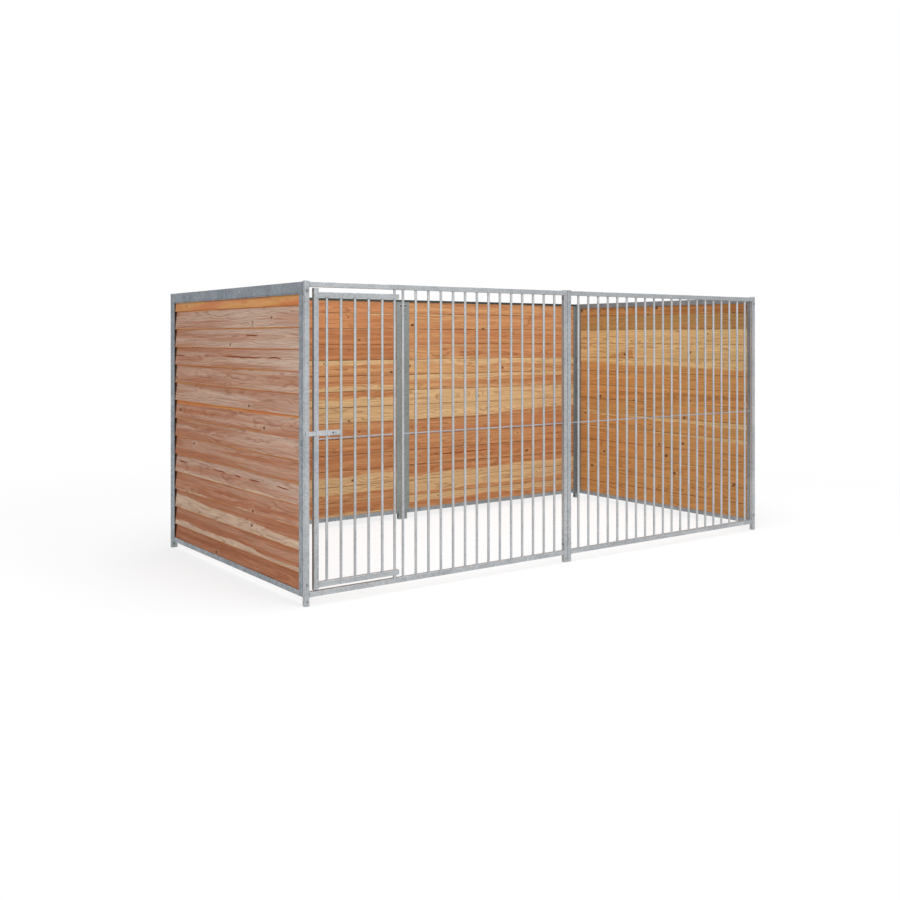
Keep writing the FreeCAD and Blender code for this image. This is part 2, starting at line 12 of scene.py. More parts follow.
import bpy
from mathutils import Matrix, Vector


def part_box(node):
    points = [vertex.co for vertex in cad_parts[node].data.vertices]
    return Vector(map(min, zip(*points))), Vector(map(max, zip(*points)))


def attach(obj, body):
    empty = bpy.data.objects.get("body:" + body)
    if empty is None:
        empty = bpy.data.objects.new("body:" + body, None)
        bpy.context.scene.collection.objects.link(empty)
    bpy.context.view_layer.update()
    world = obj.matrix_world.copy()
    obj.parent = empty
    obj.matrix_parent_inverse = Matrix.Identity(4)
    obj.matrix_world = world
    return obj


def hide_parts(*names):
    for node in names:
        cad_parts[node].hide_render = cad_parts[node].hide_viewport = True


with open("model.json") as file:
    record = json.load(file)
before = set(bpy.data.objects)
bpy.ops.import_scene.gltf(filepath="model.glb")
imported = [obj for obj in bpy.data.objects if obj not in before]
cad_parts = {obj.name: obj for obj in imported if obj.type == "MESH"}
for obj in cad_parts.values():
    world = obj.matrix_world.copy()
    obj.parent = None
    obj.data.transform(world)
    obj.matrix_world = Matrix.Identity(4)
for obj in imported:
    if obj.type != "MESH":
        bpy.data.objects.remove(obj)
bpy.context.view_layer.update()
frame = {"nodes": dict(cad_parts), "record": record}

# %% [markdown]
# ## Camera
# The photograph has upright lines that stay upright, so the camera is level. A level camera puts
# the horizon across the middle of its picture. Here the horizon is higher than that, as in a
# picture that was cut out of a taller one, and a lens shift does the same without any tilt.

# %% Camera
CAMERA_PLACE = Vector((-4.740, -6.203, 1.520))
CAMERA_TURN = math.radians(35.96)  # from straight ahead, to the right
FOCAL_PIXELS = 1026.0  # focal length in pixels of a picture 900 wide
HORIZON_ROW = 338.0  # where a straight look ahead meets the picture
PICTURE = 900.0
SENSOR = 36.0
FAR_CLIP = 200.0

camera_data = bpy.data.cameras.new("kennel_camera")
camera_data.sensor_width = SENSOR
camera_data.lens = FOCAL_PIXELS / PICTURE * SENSOR
camera_data.shift_y = (HORIZON_ROW - PICTURE / 2) / PICTURE
camera_data.clip_end = FAR_CLIP
camera = bpy.data.objects.new("kennel_camera", camera_data)
camera.location = CAMERA_PLACE
camera.rotation_euler = (math.radians(90), 0.0, -CAMERA_TURN)
bpy.context.scene.collection.objects.link(camera)
bpy.context.scene.camera = camera
bpy.context.scene.view_settings.view_transform = "Standard"
print("lens", round(camera_data.lens, 2), "mm, shift", round(camera_data.shift_y, 3))

# %% [markdown]
# ## Small helpers for finishes
# A finish is a network of nodes that ends in one shader. It could start from a picture of the
# surface, but noises and distances stay sharp at any size and show no seam. The first two helpers
# turn a colour as a painter would write it, from 0 to 255, into the linear light that a shader works
# in, and start a finish. The others add nodes with their settings and sockets, so that the networks
# below stay short.


# %% Start a finish
def colour(red, green, blue):
    """A colour written from 0 to 255 on the sRGB curve, as linear light with full cover."""
    linear = []
    for value in (red, green, blue):
        share = value / 255.0
        linear.append(share / 12.92 if share <= 0.04045 else ((share + 0.055) / 1.055) ** 2.4)
    return (*linear, 1.0)


def start_finish(name):
    """A new material that holds one shader, joined to its output."""
    finish = bpy.data.materials.new(name)
    finish.use_nodes = True
    tree = finish.node_tree
    tree.nodes.clear()
    output = tree.nodes.new("ShaderNodeOutputMaterial")
    shader = tree.nodes.new("ShaderNodeBsdfPrincipled")
    tree.links.new(shader.outputs["BSDF"], output.inputs["Surface"])
    return finish, tree, shader


print("white is", colour(255, 255, 255), "and mid grey is", round(colour(128, 128, 128)[0], 3))

# %% Add nodes to a finish
MIX_SHARE, MIX_FIRST, MIX_SECOND, MIX_RESULT = 0, 6, 7, 2  # a Mix node's sockets for colours


def add(tree, kind, sockets=None, **settings):
    """One node. Sockets take a number, a colour or another node's output."""
    node = tree.nodes.new("ShaderNode" + kind)
    for name, value in settings.items():
        setattr(node, name, value)
    for key, value in (sockets or {}).items():
        if isinstance(value, bpy.types.NodeSocket):
            tree.links.new(value, node.inputs[key])
        else:
            node.inputs[key].default_value = value
    return node


def math_of(tree, operation, first, second=0.0, third=0.0, clamp=False):
    """The result of one sum on up to three values."""
    sockets = {0: first, 1: second, 2: third}
    return add(tree, "Math", sockets, operation=operation, use_clamp=clamp).outputs[0]


def between(tree, value, low, high, to_low=0.0, to_high=1.0):
    """A value moved smoothly from one range to another, and kept inside it."""
    sockets = {"Value": value, "From Min": low, "From Max": high, "To Min": to_low, "To Max": to_high}
    return add(tree, "MapRange", sockets, interpolation_type="SMOOTHSTEP").outputs["Result"]


def blend_colours(tree, share, first, second, way="MIX"):
    """Two colours mixed, or multiplied, by a share."""
    sockets = {MIX_SHARE: share, MIX_FIRST: first, MIX_SECOND: second}
    return add(tree, "Mix", sockets, data_type="RGBA", blend_type=way).outputs[MIX_RESULT]


print("a Mix node takes its colours in sockets", MIX_FIRST, "and", MIX_SECOND)


# %% Noise and relief
def vector_of(tree, operation, first, second):
    """The result of one sum on two vectors."""
    return add(tree, "VectorMath", {0: first, 1: second}, operation=operation).outputs["Vector"]


def noise(tree, place, per_metre, detail, roughness=0.5):
    """Noise from 0 to 1, with so many waves in a metre."""
    sockets = {"Vector": place, "Scale": per_metre, "Detail": detail, "Roughness": roughness}
    return add(tree, "TexNoise", sockets).outputs["Fac"]


def drawn_noise(tree, place, per_metre, detail):
    """Noise drawn out in one direction, with its own number of waves in a metre along each axis."""
    return noise(tree, vector_of(tree, "MULTIPLY", place, per_metre), 1.0, detail)


def emboss(tree, shader, height, strength, distance):
    """Fine relief on a shader, from a height at every place."""
    bump = add(tree, "Bump", {"Strength": strength, "Distance": distance, "Height": height})
    tree.links.new(bump.outputs["Normal"], shader.inputs["Normal"])


print("noise and relief helpers are ready")

# %% [markdown]
# ## Galvanised steel
# Hot-dip zinc freezes into crystals, called spangle, each with its own shade. Random cells from a
# Voronoi texture give the crystals, a slow noise gives the cloudy patches of dull oxide, and thin
# upright streaks show where the zinc ran off. Paint would be simpler, but a single grey has none
# of this, and steel in daylight is mostly these shades. A film can lie on what faces the front,
# within a reach of one place: painted shade in dark green on the inner side of the back caps, a thin
# greenish stain on the uprights below them, and painted shade on the latch plate where the hole in
# the bolt shows it.

# %% Zinc coat
CLOUDS_PER_METRE = 5.0
STREAKS_PER_METRE = (60.0, 60.0, 2.0)
GRIT_PER_METRE = 420.0
CLOUD_EDGES, STREAK_EDGES = (0.35, 0.68), (0.45, 0.75)  # from where the noise begins to show to full
CRYSTAL_SHARE, CLOUD_SHARE, STREAK_SHARE = 0.42, 0.40, 0.18
SMOOTHEST, ROUGHEST = -0.09, 0.07  # crystals, against the mean roughness
CLOUD_ROUGHNESS = 0.10
FILM_FACING, FILM_CORE = (-0.5, -0.9), 0.9  # from bare to full, by the way it faces and by the reach
CRYSTAL_HEIGHT = 0.35  # against the grit's height


def film_cover(tree, place, share, middle, reach):
    """How much of a film lies on what faces the front, within a reach of its middle."""
    normal = add(tree, "NewGeometry").outputs["Normal"]
    facing = add(tree, "SeparateXYZ", {0: normal}).outputs[1]
    apart = add(tree, "VectorMath", {0: place, 1: middle}, operation="DISTANCE").outputs["Value"]
    inside = between(tree, apart, reach, FILM_CORE * reach)
    return math_of(tree, "MULTIPLY", between(tree, facing, *FILM_FACING, 0.0, share), inside)


def galvanised(name, shades, crystal_size, metal=0.75, rough=0.46, film=None):
    """Zinc-coated steel between two shades. A film has a colour, a share, a middle and a reach."""
    finish, tree, shader = start_finish(name)
    place = add(tree, "TexCoord").outputs["Object"]
    cells = add(tree, "TexVoronoi", {"Vector": place, "Scale": 1.0 / crystal_size})
    crystal = add(tree, "SeparateColor", {"Color": cells.outputs["Color"]}).outputs[0]
    cloud = between(tree, noise(tree, place, CLOUDS_PER_METRE, 5.0, 0.6), *CLOUD_EDGES)
    streak = between(tree, drawn_noise(tree, place, STREAKS_PER_METRE, 2.0), *STREAK_EDGES)
    clouded = math_of(tree, "MULTIPLY", cloud, CLOUD_SHARE)
    clouded = math_of(tree, "MULTIPLY_ADD", crystal, CRYSTAL_SHARE, clouded)
    shade = math_of(tree, "MULTIPLY_ADD", streak, STREAK_SHARE, clouded, clamp=True)
    tint = blend_colours(tree, shade, *shades)
    if film:
        film_tint, *cover = film
        tint = blend_colours(tree, film_cover(tree, place, *cover), tint, film_tint)
    tree.links.new(tint, shader.inputs["Base Color"])
    shader.inputs["Metallic"].default_value = metal
    dullness = between(tree, crystal, 0.0, 1.0, rough + SMOOTHEST, rough + ROUGHEST)
    dullness = math_of(tree, "MULTIPLY_ADD", cloud, CLOUD_ROUGHNESS, dullness)
    tree.links.new(dullness, shader.inputs["Roughness"])
    grit = noise(tree, place, GRIT_PER_METRE, 3.0)
    relief = math_of(tree, "MULTIPLY_ADD", crystal, CRYSTAL_HEIGHT, grit)
    emboss(tree, shader, relief, strength=0.12, distance=0.0006)
    return finish


print("shares of crystals, clouds and streaks:", CRYSTAL_SHARE, CLOUD_SHARE, STREAK_SHARE)

# %% Steel finishes
BACK_MIDDLE, BACK_REACH = (0.0, 1.0, 0.9), 5.0  # a film over all of the back
BOLT_HOLE_TO_KNOB = 0.023
# How far the painted shade of the hole in the bolt reaches on the latch plate.
HOLE_SHADE_REACH = 0.009
knob_low, knob_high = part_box("latch_knob")
bolt_hole = ((knob_low.x + knob_high.x) / 2 - BOLT_HOLE_TO_KNOB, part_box("latch_plate")[0].y,
             (knob_low.z + knob_high.z) / 2)
# Painted shade: a dark green film on the inner side of the back caps, where shade falls.
cap_painted_shade = colour(44, 56, 50), 0.85, BACK_MIDDLE, BACK_REACH
stain = colour(150, 158, 146), 0.45, BACK_MIDDLE, BACK_REACH
# Painted shade: dark on the latch plate where the hole in the bolt shows it.
hole_painted_shade = colour(34, 32, 30), 0.95, bolt_hole, HOLE_SHADE_REACH
tube_shades = colour(196, 199, 201), colour(158, 162, 165)
bar_shades = colour(202, 205, 207), colour(168, 172, 175)
latch_shades = colour(206, 208, 210), colour(170, 174, 177)
sheet_shades = colour(170, 177, 182), colour(128, 136, 142)
rod_shades = colour(176, 182, 188), colour(146, 152, 158)
zinc_shades = colour(176, 177, 176), colour(132, 133, 132)
STEELS = {  # two shades, the size of a crystal in metres, and what else differs
    "galvanised_tube": (tube_shades, 0.011, {}),
    "galvanised_bar": (bar_shades, 0.008, {}),
    "galvanised_latch": (latch_shades, 0.009, {}),
    "galvanised_sheet": (sheet_shades, 0.014, {}),
    # The back caps' finish carries painted shade on their inner side.
    "back_cap_sheet": (sheet_shades, 0.014, {"film": cap_painted_shade}),
    "back_upright_sheet": (sheet_shades, 0.014, {"film": stain}),
    # The latch plate's finish carries painted shade round the hole in the bolt.
    "greased_plate": (latch_shades, 0.009, {"film": hole_painted_shade}),
    "dull_rod": (rod_shades, 0.008, {"rough": 0.56}),
    "zinc_fasteners": (zinc_shades, 0.004, {"metal": 0.9, "rough": 0.36}),
}
solid_finish = {}
for name, (shades, crystal_size, others) in STEELS.items():
    solid_finish[name] = galvanised(name, shades, crystal_size, **others)
print("steel finishes:", sorted(solid_finish))

# %% [markdown]
# ## Plastic caps
# The caps on the front posts are moulded in grey plastic. A plain grey would do for a new cap, but a
# moulded surface has a faint grain and gathers dust in patches. Two noises are enough for that.

# %% Plastic caps
DUST_PER_METRE = 45.0
MOULD_GRAIN_PER_METRE = 900.0
clean_plastic, dusty_plastic = colour(176, 179, 180), colour(150, 151, 149)


def moulded_plastic(name, clean, dusty):
    """Fine-grained plastic with dust in slow patches."""
    finish, tree, shader = start_finish(name)
    place = add(tree, "TexCoord").outputs["Object"]
    dust = between(tree, noise(tree, place, DUST_PER_METRE, 4.0), 0.4, 0.7)
    tree.links.new(blend_colours(tree, dust, clean, dusty), shader.inputs["Base Color"])
    shader.inputs["Roughness"].default_value = 0.55
    grain = noise(tree, place, MOULD_GRAIN_PER_METRE, 2.0)
    emboss(tree, shader, grain, strength=0.2, distance=0.0004)
    return finish


solid_finish["grey_plastic"] = moulded_plastic("grey_plastic", clean_plastic, dusty_plastic)
print("post caps are", tuple(round(c, 3) for c in clean_plastic[:3]))

# %% [markdown]
# ## Give the solids their finishes
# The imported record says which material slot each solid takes. Every steel solid keeps its shape.
# Folded and cut steel has small rounded edges that catch the light, so a weld and a bevel modifier
# are added on top of the solids that have hard edges. The solids' own points stay as they are.

# %% Finishes on the solids
EDGE_ROUND = 0.0007
CORNER_REACH = 0.00002  # split corners of a solid lie closer than this
SHARP_CORNER = math.radians(50)
HARD_EDGED = ("upright", "bottom_channel", "top_cap", "latch", "joint_bolts", "joint_nuts")
# The back caps and the latch plate take finishes with painted shade.
OWN_FINISHES = [("back", "top_cap", "back_cap_sheet"), ("back", "upright", "back_upright_sheet"),
                ("latch", "plate", "greased_plate"), ("", "tie_rod", "dull_rod")]
slot_of = {piece["node"]: piece["material_slot"] for piece in frame["record"]["subparts"]}


def soften_edges(solid):
    """Joins the solid's split corners and rounds its sharp edges."""
    weld = solid.modifiers.new("join_corners", "WELD")
    weld.merge_threshold = CORNER_REACH
    bevel = solid.modifiers.new("rounded_edges", "BEVEL")
    bevel.width = EDGE_ROUND
    bevel.segments = 2
    bevel.limit_method = "ANGLE"
    bevel.angle_limit = SHARP_CORNER
    bevel.harden_normals = True


softened = 0
for node, solid in frame["nodes"].items():
    finish = solid_finish.get(slot_of[node])
    if finish is None:
        continue
    for start, end, own_finish in OWN_FINISHES:
        if node.startswith(start) and node.endswith(end):
            finish = solid_finish[own_finish]
    solid.data.materials.clear()
    solid.data.materials.append(finish)
    if any(word in node for word in HARD_EDGED):
        soften_edges(solid)
        softened += 1
print("solids with rounded edges:", softened)

# %% [markdown]
# ## Larch boards
# The walls are bevel siding: each board is thick at its lower edge, thin at its upper edge, and
# lapped over the board below. A box with a wood picture would miss the lap, the wavy lower edges
# and the long drying cracks, so each board is drawn as an outline that is swept along the wall in
# many stations. At each station the outline is moved a little: the lower edge wanders, and a narrow
# line on the face sinks in where the board has a crack.

# %% Board sizes
COVER = 0.1275  # visible height of a board
LAP = 0.0125
BUTT = 0.022  # thickness at the lower edge
TIP = 0.011  # thickness at the upper edge
BOARD = COVER + LAP
REBATE_PLAY = 0.0005
REBATE = BUTT - (BUTT - TIP) * COVER / BOARD + REBATE_PLAY
GROOVE = 0.003  # bevels that make the joint line inside
EDGE = 0.0022  # rounding of the outer lower edge
CRACK_HALF = 0.0046
CRACK_ROOM = 0.014  # no other row of points runs this close to a crack
ROW_SHARES = (0.15, 0.3, 0.45, 0.6, 0.75, 0.9)
print("board", round(BOARD * 1000, 1), "mm, rebate", round(REBATE * 1000, 1), "mm")


# %% One board's outline
def face_at(height):
    """Distance of the outer face from the inner face at a height above the lower edge."""
    return BUTT - (BUTT - TIP) * height / BOARD


def face_rows(low, high, crack, sign):
    """Heights of the rows on one face, from low to high. A sign marks the row of a crack."""
    rows = [low + share * (high - low) for share in ROW_SHARES]
    kept = [(z, 0) for z in rows if abs(z - crack) > CRACK_ROOM]
    return sorted(kept + [(crack - CRACK_HALF, 0), (crack, sign), (crack + CRACK_HALF, 0)])


def board_outline(height, lowest, crack_out, crack_in):
    """Corner points of a board: (outward, up, crack sign), starting under the lip."""
    start = 0.0 if lowest else REBATE
    foot = GROOVE if lowest else LAP + GROOVE
    points = [(start, 0.0, 0), (BUTT - EDGE, 0.0, 0), (BUTT - 0.3 * EDGE, 0.3 * EDGE, 0),
              (face_at(EDGE), EDGE, 0)]
    points += [(face_at(z), z, crack) for z, crack in face_rows(EDGE, height, crack_out, 1)]
    points += [(face_at(height), height, 0), (GROOVE, height, 0), (0.0, height - GROOVE, 0)]
    points += [(0.0, z, crack) for z, crack in face_rows(foot, height - GROOVE, crack_in, -1)[::-1]]
    points += [(0.0, foot, 0)]
    if not lowest:
        points += [(GROOVE, LAP, 0), (REBATE, LAP, 0)]
    return points


print("outline points:", len(board_outline(BOARD, False, 0.06, 0.08)))

# %% [markdown]
# ## Values for the finish
# Each point carries values that the wood's finish reads later. The grain place is where the point
# lay in the log that the board was sawn from. The look holds the tone of the board, the depth into
# the pale sapwood, and whether the point lies outside. The lines hold three distances in metres: into
# the sharp lower edge, into the strip that the lap above keeps dry, both unweathered wood with painted
# bounce light, and into the joint inside. The crack values say how far a crack is open, and give the
# distance into the painted shade at a board's end beside an upright.
# A distance makes a sharp line between two rows of points, where a plain share would be a soft ramp.

# %% Curves along a board
CURVE_TERMS = 3
FULL_TURN = 6.28  # in radians, near enough for a random start
CRACK_TAPER = 0.6  # below 1, so a crack opens quickly from its ends


def wander(rng, size, waves):
    """A slow random curve along a board: a sum of a few sines."""
    terms = []
    for _ in range(CURVE_TERMS):
        terms.append((rng.uniform(*waves), rng.uniform(0, FULL_TURN), rng.uniform(0.4, 1.0)))
    total = sum(weight for _, _, weight in terms)
    return lambda u: size * sum(w * math.sin(f * u + p) for f, p, w in terms) / total


def crack_depth_at(cracks, u):
    """How far a place along a board is open, from 0 to 1. A crack has a middle and a reach."""
    depths = [max(0.0, 1.0 - ((u - middle) / reach) ** 2) for middle, reach in cracks]
    return max(depths, default=0.0) ** CRACK_TAPER


def at_share(ends, share):
    """A value that runs evenly from one end to the other."""
    return ends[0] + share * (ends[1] - ends[0])


print("one crack in its middle:", crack_depth_at([(0.5, 0.2)], 0.5))

# %% One board's look
WEDGE_CUT = 0.65  # share of the height that a wedge of heartwood takes from the sapwood


class BoardLook:
    """One board: tone and sapwood share at its two ends, its dry strip with painted bounce light, and
    its cracks.
    """

    def __init__(self, tone, sap, dry, wedge, outer, inner):
        self.tone, self.sap, self.dry, self.wedge = tone, sap, dry, wedge
        self.outer_height, self.outer_cracks = outer
        self.inner_height, self.inner_cracks = inner

    def sap_depth(self, share, up, height):
        """Depth into the sapwood, which grows from the upper edge, or from the lower if negative."""
        sap = at_share(self.sap, share)
        if self.wedge and self.wedge[0] < share < self.wedge[1]:
            sap -= WEDGE_CUT * (self.wedge[1] - share) / (self.wedge[1] - self.wedge[0])
        return up - (1 - sap) * height if sap >= 0 else -sap * height - up


print("a wedge of heartwood is up to", round(WEDGE_CUT * BOARD * 1000), "mm high")

# %% One board's shape
VALUE_NAMES = ("grain_place", "board_look", "board_lines", "board_crack")
WAVES = {  # size in metres, and radians per metre
    "edge": (0.0009, (2.0, 14.0)),
    "face": (0.00035, (1.0, 5.0)),
    "dry": (0.35, (1.0, 6.0)),  # size as a share of the strip below the lap
    "crack_drift": (0.006, (2.0, 11.0)),
    "crack_curl": (0.0022, (22.0, 42.0)),
}
CRACK_DEPTH = 0.006
CRACK_RISE = 0.02  # least height of an inner crack above the lap
PITH_UP, PITH_OUT = 0.04, (0.03, 0.10)  # how far the pith may lie from the board
LOG_LENGTH = 40.0  # boards start anywhere along so much wood
EDGE_LINE = 0.003  # height of the orange line at the lower edge, unweathered wood with painted light
JOINT_LINE = 0.004  # height of the dark line at a joint inside
FLANGE_SHADE = (0.006, 0.025)  # painted shade past a flange, at a board's lower and upper edge
FAR_OFF = -1.0  # a distance that lies in no line


def is_outside(out):
    """Whether a point of an outline lies on the outer side of its board."""
    return out > 0.5 * TIP


class Board:
    """One board of a wall. Its random curves are drawn in a fixed order."""

    def __init__(self, rng, look, base, height, lowest):
        self.look, self.base, self.height, self.lowest = look, base, height, lowest
        self.outer_row = look.outer_height * height
        self.inner_row = max(LAP + CRACK_RISE, look.inner_height * height)
        self.outline = board_outline(height, lowest, self.outer_row, self.inner_row)
        self.waves = {name: wander(rng, size, pace) for name, (size, pace) in WAVES.items()}
        self.pith_up = rng.uniform(-PITH_UP, PITH_UP)
        self.pith_out = rng.choice((-1, 1)) * rng.uniform(*PITH_OUT)
        self.offset = rng.uniform(0.0, LOG_LENGTH)

    def open_at(self, u, crack):
        """How far a row of points is open at a place along the board. Only a crack's row is."""
        if crack == 0:
            return 0.0
        return crack_depth_at(self.look.outer_cracks if crack > 0 else self.look.inner_cracks, u)

    def moved(self, u, out, up, crack):
        """Where a point of the outline lies at a place along the board: outward, and up."""
        crack_row = self.outer_row if is_outside(out) else self.inner_row
        lift = 0.0
        if abs(up - crack_row) < 1.1 * CRACK_HALF:
            lift = self.waves["crack_drift"](u) + self.waves["crack_curl"](u)
        elif up < 2 * EDGE and not self.lowest:
            lift = self.waves["edge"](u)
        sink = crack * CRACK_DEPTH * self.open_at(u, crack)
        return out + self.waves["face"](u) - sink, self.base + up + lift

    def values(self, u, share, out, up, crack, past_flange):
        """What the finish reads at a point of the outline, in the order of VALUE_NAMES."""
        look, height, outside = self.look, self.height, is_outside(out)
        # The strip below the lap is unweathered wood with painted bounce light.
        dry_and_bounce_depth = up - (COVER - look.dry - look.dry * self.waves["dry"](u))
        joint_depth = JOINT_LINE - min(height - up, up - LAP)
        # Painted shade in the gap under an upright's flange, wider towards the board's upper edge.
        flange_shade_depth = at_share(FLANGE_SHADE, up / height) - past_flange
        lines = (EDGE_LINE - up, dry_and_bounce_depth, FAR_OFF) if outside else (FAR_OFF, FAR_OFF, joint_depth)
        return ((u + self.offset, up - height / 2 + self.pith_up, out + self.pith_out),
                (at_share(look.tone, share), look.sap_depth(share, up, height), float(outside)), lines,
                (self.open_at(u, crack), flange_shade_depth if outside else FAR_OFF, 0.0))


print("cracks sink in by up to", CRACK_DEPTH * 1000, "mm")

# %% Join points into a piece
SMOOTH_LIMIT = math.radians(28)


def tube_faces(first, size, rings, closed=False):
    """Faces between rings of points that follow each other. A tube that isn't closed gets two ends."""
    faces = []
    for k in range(rings if closed else rings - 1):
        here, ahead = first + k * size, first + (k + 1) % rings * size
        for j in range(size):
            beside = (j + 1) % size
            faces.append((here + j, here + beside, ahead + beside, ahead + j))
    if not closed:
        last = first + (rings - 1) * size
        faces.append(tuple(range(first, first + size))[::-1])
        faces.append(tuple(range(last, last + size)))
    return faces


def new_piece(name, points, faces, finish, values=None, sharp=True):
    """A smooth object from points and faces, with any values at its points and any sharp edges kept."""
    mesh = bpy.data.meshes.new(name)
    mesh.from_pydata(points, [], faces)
    for label, vectors in (values or {}).items():
        layer = mesh.attributes.new(label, "FLOAT_VECTOR", "POINT")
        layer.data.foreach_set("vector", [number for vector in vectors for number in vector])
    mesh.polygons.foreach_set("use_smooth", [True] * len(mesh.polygons))
    if sharp:
        mesh.set_sharp_from_angle(angle=SMOOTH_LIMIT)
    mesh.materials.append(finish)
    piece = bpy.data.objects.new(name, mesh)
    bpy.context.scene.collection.objects.link(piece)
    return piece


print("a tube of three square rings has", len(tube_faces(0, 4, 3)), "faces")

# %% Sweep the boards of one wall
STATION = 0.02  # distance between outlines along a board


class WallMesh:
    """Points, faces and point values of all the boards in one piece."""

    def __init__(self, ends, flange_edges, to_frame):
        self.ends, self.flange_edges, self.to_frame = ends, flange_edges, to_frame
        self.points, self.faces = [], []
        self.values = {label: [] for label in VALUE_NAMES}

    def add_board(self, board):
        """Sweeps a board's outline from one end of the wall to the other."""
        start, end = self.ends
        steps = max(2, round((end - start) / STATION))
        self.faces += tube_faces(len(self.points), len(board.outline), steps + 1)
        for k in range(steps + 1):
            share = k / steps
            u = (end - start) * share
            past_flange = min(start + u - self.flange_edges[0], self.flange_edges[1] - start - u)
            for out, up, crack in board.outline:
                self.points.append(self.to_frame(start + u, *board.moved(u, out, up, crack)))
                values = board.values(u, share, out, up, crack, past_flange)
                for label, value in zip(VALUE_NAMES, values):
                    self.values[label].append(value)


print("sweep ready, a station every", STATION * 1000, "mm")

# %% [markdown]
# ## Larch grain and knots
# Larch has pale early wood and a thin dark line of late wood in each ring around the pith. The place
# in the log is known at every point, so the distance from the pith gives the rings, and noise along
# the grain bends them into the arches that flat-sawn boards show. A knot pushes the rings aside, so
# the knots are found first. They are longer along the grain than across it.

# %% Knots
KNOT_STRETCH = (0.6, 1.0, 1.0)
KNOT_LEAST, KNOT_MOST = 0.03, 0.066  # reach, as a share of the distance between knots
KNOT_EDGE_PER_METRE = 60.0
KNOT_RAGGED = (-0.01, 0.03)
HEART_EDGES, HALO_EDGES = (1.1, 0.6), (4.2, 0.6)  # in reaches, from where it begins to full


def larch_knots(tree, place, rarity, knot_size, closeness):
    """Dark hearts of the knots and the halos around them. Closeness is about knots per metre."""
    drawn_out = vector_of(tree, "MULTIPLY", place, KNOT_STRETCH)
    cells = add(tree, "TexVoronoi", {"Vector": drawn_out, "Scale": closeness}, voronoi_dimensions="2D")
    chance = add(tree, "SeparateColor", {"Color": cells.outputs["Color"]})
    chosen = between(tree, chance.outputs[0], rarity, rarity + 0.02)
    ragged = between(tree, noise(tree, place, KNOT_EDGE_PER_METRE, 3.0), 0.3, 0.7, *KNOT_RAGGED)
    away = math_of(tree, "ADD", cells.outputs["Distance"], ragged)
    reach = between(tree, chance.outputs[1], 0.0, 1.0, KNOT_LEAST * knot_size, KNOT_MOST * knot_size)
    share = math_of(tree, "DIVIDE", away, reach)
    heart = math_of(tree, "MULTIPLY", between(tree, share, *HEART_EDGES), chosen)
    halo = math_of(tree, "MULTIPLY", between(tree, share, *HALO_EDGES), chosen)
    return heart, halo


print("a halo reaches", round(HALO_EDGES[0] / HEART_EDGES[0], 1), "times as far as its knot")

# %% Grain
RINGS_PER_METRE = 84.0
ACROSS = (0.0, 1.0, 1.0)  # drops the direction along the grain
BENDS_PER_METRE, BEND_REACH = (1.3, 5.0, 5.0), (0.0, 0.09, 0.09)
SHAKES_PER_METRE, SHAKE_REACH = (4.0, 50.0, 50.0), 0.0028
BANDS_PER_METRE, BAND_EDGES = (0.7, 24.0, 24.0), (0.36, 0.66)
FIBRES_PER_METRE = (5.0, 210.0, 210.0)
KNOT_PUSH = 0.02
LATE_START, LATE_POWER, LATE_END = 0.15, 3.0, 0.9  # late wood inside one ring


def larch_grain(tree, place, halo):
    """Late wood, slow bands and fine fibres, each from 0 to 1."""
    bends = vector_of(tree, "MULTIPLY", place, BENDS_PER_METRE)
    bending = add(tree, "TexNoise", {"Vector": bends, "Scale": 1.0, "Detail": 3.0, "Roughness": 0.55})
    centred = vector_of(tree, "SUBTRACT", bending.outputs["Color"], (0.5, 0.5, 0.5))
    bent = vector_of(tree, "ADD", place, vector_of(tree, "MULTIPLY", centred, BEND_REACH))
    across = vector_of(tree, "MULTIPLY", bent, ACROSS)
    from_pith = add(tree, "VectorMath", {0: across}, operation="LENGTH").outputs["Value"]
    shaken = drawn_noise(tree, place, SHAKES_PER_METRE, 2.0)
    shake = between(tree, shaken, 0.2, 0.8, -SHAKE_REACH, SHAKE_REACH)
    pushed = math_of(tree, "MULTIPLY_ADD", halo, KNOT_PUSH, from_pith)
    pushed = math_of(tree, "ADD", pushed, shake)
    in_ring = math_of(tree, "FRACT", math_of(tree, "MULTIPLY", pushed, RINGS_PER_METRE))
    darkening = math_of(tree, "POWER", between(tree, in_ring, LATE_START, 1.0), LATE_POWER)
    late_wood = math_of(tree, "MULTIPLY", darkening, between(tree, in_ring, 1.0, LATE_END))
    band = between(tree, drawn_noise(tree, place, BANDS_PER_METRE, 4.0), *BAND_EDGES)
    return late_wood, band, drawn_noise(tree, place, FIBRES_PER_METRE, 3.0)


print("one ring every", round(1000 / RINGS_PER_METRE, 1), "mm")

# %% [markdown]
# ## Larch finish
# Outside, sun and rain have turned the wood pinkish grey. The lower edges and the strip below each
# lap stay dry, and their orange is partly unweathered wood and partly painted light bounced under the
# laps. Inside, the wood is fresher, with red-brown hearts, straw coloured sapwood along some edges,
# and a dark line at each joint. One tint for all of it would look like paint, so the tints are laid
# over each other as on the real wood. Cracks are orange-brown to their ground, and the ends of the
# boards get painted shade where they lie in the gap under the uprights.

# %% Wood tints
SAP_SHARE, BAND_TINT, LATE_TINT, FLECK_SHARE, DARKEST = 0.9, 0.16, 0.74, 0.34, 0.8
BAND_TONE = 0.26  # how far a band moves the tone either way


